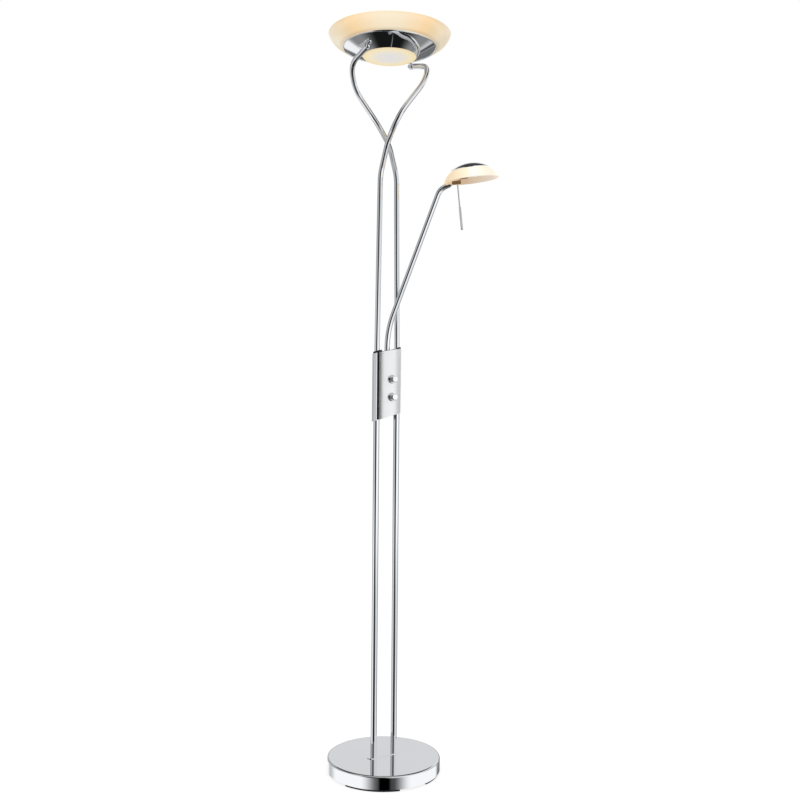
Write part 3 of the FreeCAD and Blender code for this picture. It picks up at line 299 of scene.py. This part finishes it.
def shade_glass():
    """Painted glow: amber at the arm's side, a painted white hot spot in the middle and cream beyond it, and
    painted shade that makes it duller inside.
    """
    made, tree, shader = lit_glass("amber shade glass", 0.22)
    across = round_coordinates(tree, *axis_frame("shade_nut", "shade_spacer"))[1]
    outward = vector_calc(tree, "NORMALIZE", across)
    side = vector_calc(tree, "DOT_PRODUCT", outward, toward(CAMERA_SIDE + 90))
    share = calc(tree, "MULTIPLY_ADD", side, 0.5, 0.5)
    # Painted glow of the outside, with a painted white hot spot in the middle.
    outer = ramp(tree, share, [
        (0.02, (0.80, 0.64, 0.44)), (0.22, (0.94, 0.77, 0.55)), (0.38, (0.97, 0.86, 0.68)),
        (0.50, (0.92, 0.93, 0.91)), (0.62, (0.97, 0.92, 0.78)), (0.80, (1.0, 0.86, 0.71)),
        (0.97, (0.97, 0.84, 0.72)),
    ])
    # Painted shade: the inside is duller.
    inner = ramp(tree, share, [
        (0.05, (0.90, 0.68, 0.44)), (0.35, (0.64, 0.46, 0.30)), (0.60, (0.72, 0.58, 0.43)),
        (0.95, (0.78, 0.68, 0.58)),
    ])
    normal = add(tree, "TexCoord").outputs["Normal"]
    outside = vector_calc(tree, "DOT_PRODUCT", normal, outward)
    tint(tree, shader, blend_colour(tree, span(tree, outside, -0.1, 0.1), inner, outer))
    return made


def quartz():
    made, tree, shader = new_material("quartz")
    streaks = noise(tree, object_point(tree), 120.0)
    set_inputs(tree, shader, {
        "Base Color": blend_colour(tree, streaks, (0.93, 0.95, 0.96), (1.0, 0.98, 0.92)),
        "Transmission Weight": 0.85,
        "IOR": 1.46,
        "Roughness": span(tree, streaks, 0.3, 0.7, 0.02, 0.08),
        "Emission Color": blend_colour(tree, streaks, (1.0, 0.86, 0.62), (1.0, 0.94, 0.80)),
        "Emission Strength": 0.3,
    })
    return made


def metal_looks():
    return {
        "polished_chrome": chrome("polished chrome", (0.86, 0.87, 0.885), (0.82, 0.83, 0.845),
                                  polish=0.01, haze=0.035, orange_peel=0.05),
        "satin_plate": chrome("satin chrome plate", (0.96, 0.96, 0.965), (0.93, 0.93, 0.935),
                              polish=0.27, haze=0.33, orange_peel=0.06, metallic=0.82),
        "iron": steel("cast iron", (0.05, 0.05, 0.055), (0.11, 0.11, 0.115), 0.75, 260.0),
        "steel": steel("zinc plated steel", (0.46, 0.47, 0.48), (0.62, 0.63, 0.64), 0.32, 180.0),
    }


def plastic_looks():
    fine, coarse = 0.0001, 0.0002
    return {
        "black_rubber": moulded("black rubber", (0.012, 0.012, 0.012), (0.022, 0.022, 0.022),
                                0.75, 900.0, coarse),
        "black_plastic": moulded("black plastic", (0.010, 0.010, 0.011), (0.020, 0.020, 0.022),
                                 0.38, 1400.0, fine),
        "dimmer_plastic": moulded("dark plastic", (0.06, 0.06, 0.065), (0.09, 0.09, 0.095),
                                  0.5, 1200.0, fine),
        "ceramic": moulded("white ceramic", (0.74, 0.72, 0.67), (0.82, 0.80, 0.76), 0.3, 300.0, fine),
        "grey_sleeve": moulded("grey sleeve", (0.72, 0.73, 0.75), (0.78, 0.79, 0.81),
                               0.36, 1500.0, fine),
    }


def own_looks():
    """Looks of single pieces: the lit glass with its painted glow, and the pieces under the shade, browned
    with painted amber light.
    """
    # Painted amber light: the pieces under the shade are tinted brown as if lit by the amber glass.
    amber_lit_chrome = chrome("chrome with painted amber light", (0.34, 0.26, 0.15), (0.24, 0.18, 0.10),
                  polish=0.22, haze=0.34, orange_peel=0.06)
    amber_lit_ceramic = moulded("ceramic with painted amber light", (0.30, 0.12, 0.06), (0.40, 0.18, 0.10),
                    0.35, 300.0, 0.0001)
    looks = {name: amber_lit_chrome for name in ("head_bracket", "head_pivot_pin", "shade_nut", "shade_spacer")}
    looks.update(capsule_socket=amber_lit_ceramic, glass_bowl=bowl_glass(), lens_glass=lens_glass(),
                 shade_glass=shade_glass())
    return looks


def dress():
    looks = {**metal_looks(), **plastic_looks(), "quartz": quartz()}
    own = own_looks()
    for part in frame["record"]["subparts"]:
        name = part["node"]
        look = own.get(name) or looks[part["material_slot"]]
        for slot in frame["nodes"][name].material_slots:
            slot.material = look


def soft_edge(tree, value, limit, softness, rising):
    """0 to 1 across a limit, or 1 to 0 where it falls. Angles in degrees."""
    low, high = math.radians(limit - softness), math.radians(limit + softness)
    return span(tree, value, low, high, *((0.0, 1.0) if rising else (1.0, 0.0)))


def studio_patch(tree, azimuth, elevation, left, right, low, high):
    """1 inside a patch of the surroundings, falling softly to 0 outside it."""
    inside = calc(tree, "MULTIPLY", soft_edge(tree, elevation, *low, True),
                  soft_edge(tree, elevation, *high, False))
    if right[0] - left[0] >= 360:
        return inside
    middle = math.radians(left[0] + right[0]) / 2
    turned = calc(tree, "SUBTRACT", azimuth, middle)
    turned = calc(tree, "WRAP", turned, math.pi, -math.pi)
    turned = calc(tree, "ADD", turned, middle)
    inside = calc(tree, "MULTIPLY", inside, soft_edge(tree, turned, *left, True))
    return calc(tree, "MULTIPLY", inside, soft_edge(tree, turned, *right, False))


def studio():
    world = bpy.data.worlds.new("studio")
    bpy.context.scene.world = world
    world.use_nodes = True
    tree = world.node_tree
    tree.nodes.clear()
    direction = add(tree, "TexCoord").outputs["Generated"]
    turn = math.radians(-CAMERA_SIDE)
    turned = add(tree, "VectorRotate", {"Vector": direction, "Angle": turn}, rotation_type="Z_AXIS")
    parts = add(tree, "SeparateXYZ", {0: turned.outputs[0]}).outputs
    azimuth = calc(tree, "ARCTAN2", parts["Y"], parts["X"])
    elevation = calc(tree, "ARCSINE", parts["Z"])
    level = ROOM_LEVEL
    for *limits, value in STUDIO_PATCHES.values():
        inside = studio_patch(tree, azimuth, elevation, *limits)
        level = add(tree, "MapRange", {"Value": inside, "To Min": level, "To Max": value}).outputs["Result"]
    rays = add(tree, "LightPath").outputs
    shown = add(tree, "Background", {"Color": WHITE, "Strength": 1.0})
    mirrored = add(tree, "Background", {"Color": STUDIO_TINT, "Strength": level})
    plain = add(tree, "Background", {"Color": WHITE, "Strength": DIFFUSE_LEVEL})
    glossy = add(tree, "MixShader", {0: rays["Is Glossy Ray"], 1: plain.outputs[0], 2: mirrored.outputs[0]})
    clear = calc(tree, "MAXIMUM", rays["Is Camera Ray"], rays["Is Transmission Ray"])
    seen = add(tree, "MixShader", {0: clear, 1: glossy.outputs[0], 2: shown.outputs[0]})
    add(tree, "OutputWorld", {"Surface": seen.outputs[0]})


def floor():
    half = FLOOR_HALF_WIDTH
    corners = [(-half, -half, 0), (half, -half, 0), (half, half, 0), (-half, half, 0)]
    mesh = bpy.data.meshes.new("studio_floor")
    mesh.from_pydata(corners, [], [(0, 1, 2, 3)])
    plane = bpy.data.objects.new("studio_floor", mesh)
    bpy.context.scene.collection.objects.link(plane)
    made, tree, shader = new_material("pale floor")
    grain = noise(tree, object_point(tree), 4.0)
    set_inputs(tree, shader, {
        "Base Color": blend_colour(tree, grain, (0.30, 0.30, 0.30), (0.31, 0.31, 0.31)),
        "Roughness": 0.9,
        "Specular IOR Level": 0.1,
    })
    rays = add(tree, "LightPath").outputs
    lift = add(tree, "Emission", {"Color": WHITE, "Strength": FLOOR_LIFT})
    dark = add(tree, "Emission", {"Strength": 0.0})
    seen = calc(tree, "MAXIMUM", rays["Is Camera Ray"], rays["Is Transmission Ray"])
    raised = add(tree, "MixShader", {0: seen, 1: dark.outputs[0], 2: lift.outputs[0]})
    total = add(tree, "AddShader", {0: shader.outputs[0], 1: raised.outputs[0]})
    tree.links.new(total.outputs[0], tree.nodes["Material Output"].inputs["Surface"])
    mesh.materials.append(made)
    plane.visible_glossy = False


def lamp(name, place, target, size, power):
    data = bpy.data.lights.new(name, "AREA")
    data.shape = "DISK"
    data.size = size
    data.energy = power
    made = bpy.data.objects.new(name, data)
    bpy.context.scene.collection.objects.link(made)
    made.location = place
    made.rotation_euler = (Vector(target) - Vector(place)).to_track_quat("-Z", "Y").to_euler()
    made.visible_glossy = False


def camera():
    look = toward(CAMERA_HEADING)
    level_right = look.cross(UP).normalized()
    roll = math.radians(CAMERA_ROLL)
    right = level_right * math.cos(roll) + Vector((0, 0, math.sin(roll)))
    up = right.cross(look).normalized()
    data = bpy.data.cameras.new("camera")
    data.lens = CAMERA_LENS
    data.sensor_width = 36.0
    data.clip_end = 100.0
    made = bpy.data.objects.new("camera", data)
    bpy.context.scene.collection.objects.link(made)
    made.matrix_world = Matrix((
        (right.x, up.x, -look.x, CAMERA_PLACE.x),
        (right.y, up.y, -look.y, CAMERA_PLACE.y),
        (right.z, up.z, -look.z, CAMERA_PLACE.z),
        (0, 0, 0, 1),
    ))
    bpy.context.scene.camera = made


bpy.context.scene.view_settings.view_transform = "Standard"
dress()
studio()
floor()
lamp("key", (-2.4, -1.6, 3.2), LAMP_AIM, LAMP_SIZE, 14.0)
lamp("fill", (2.2, -2.2, 2.0), LAMP_AIM, LAMP_SIZE, 6.0)
camera()
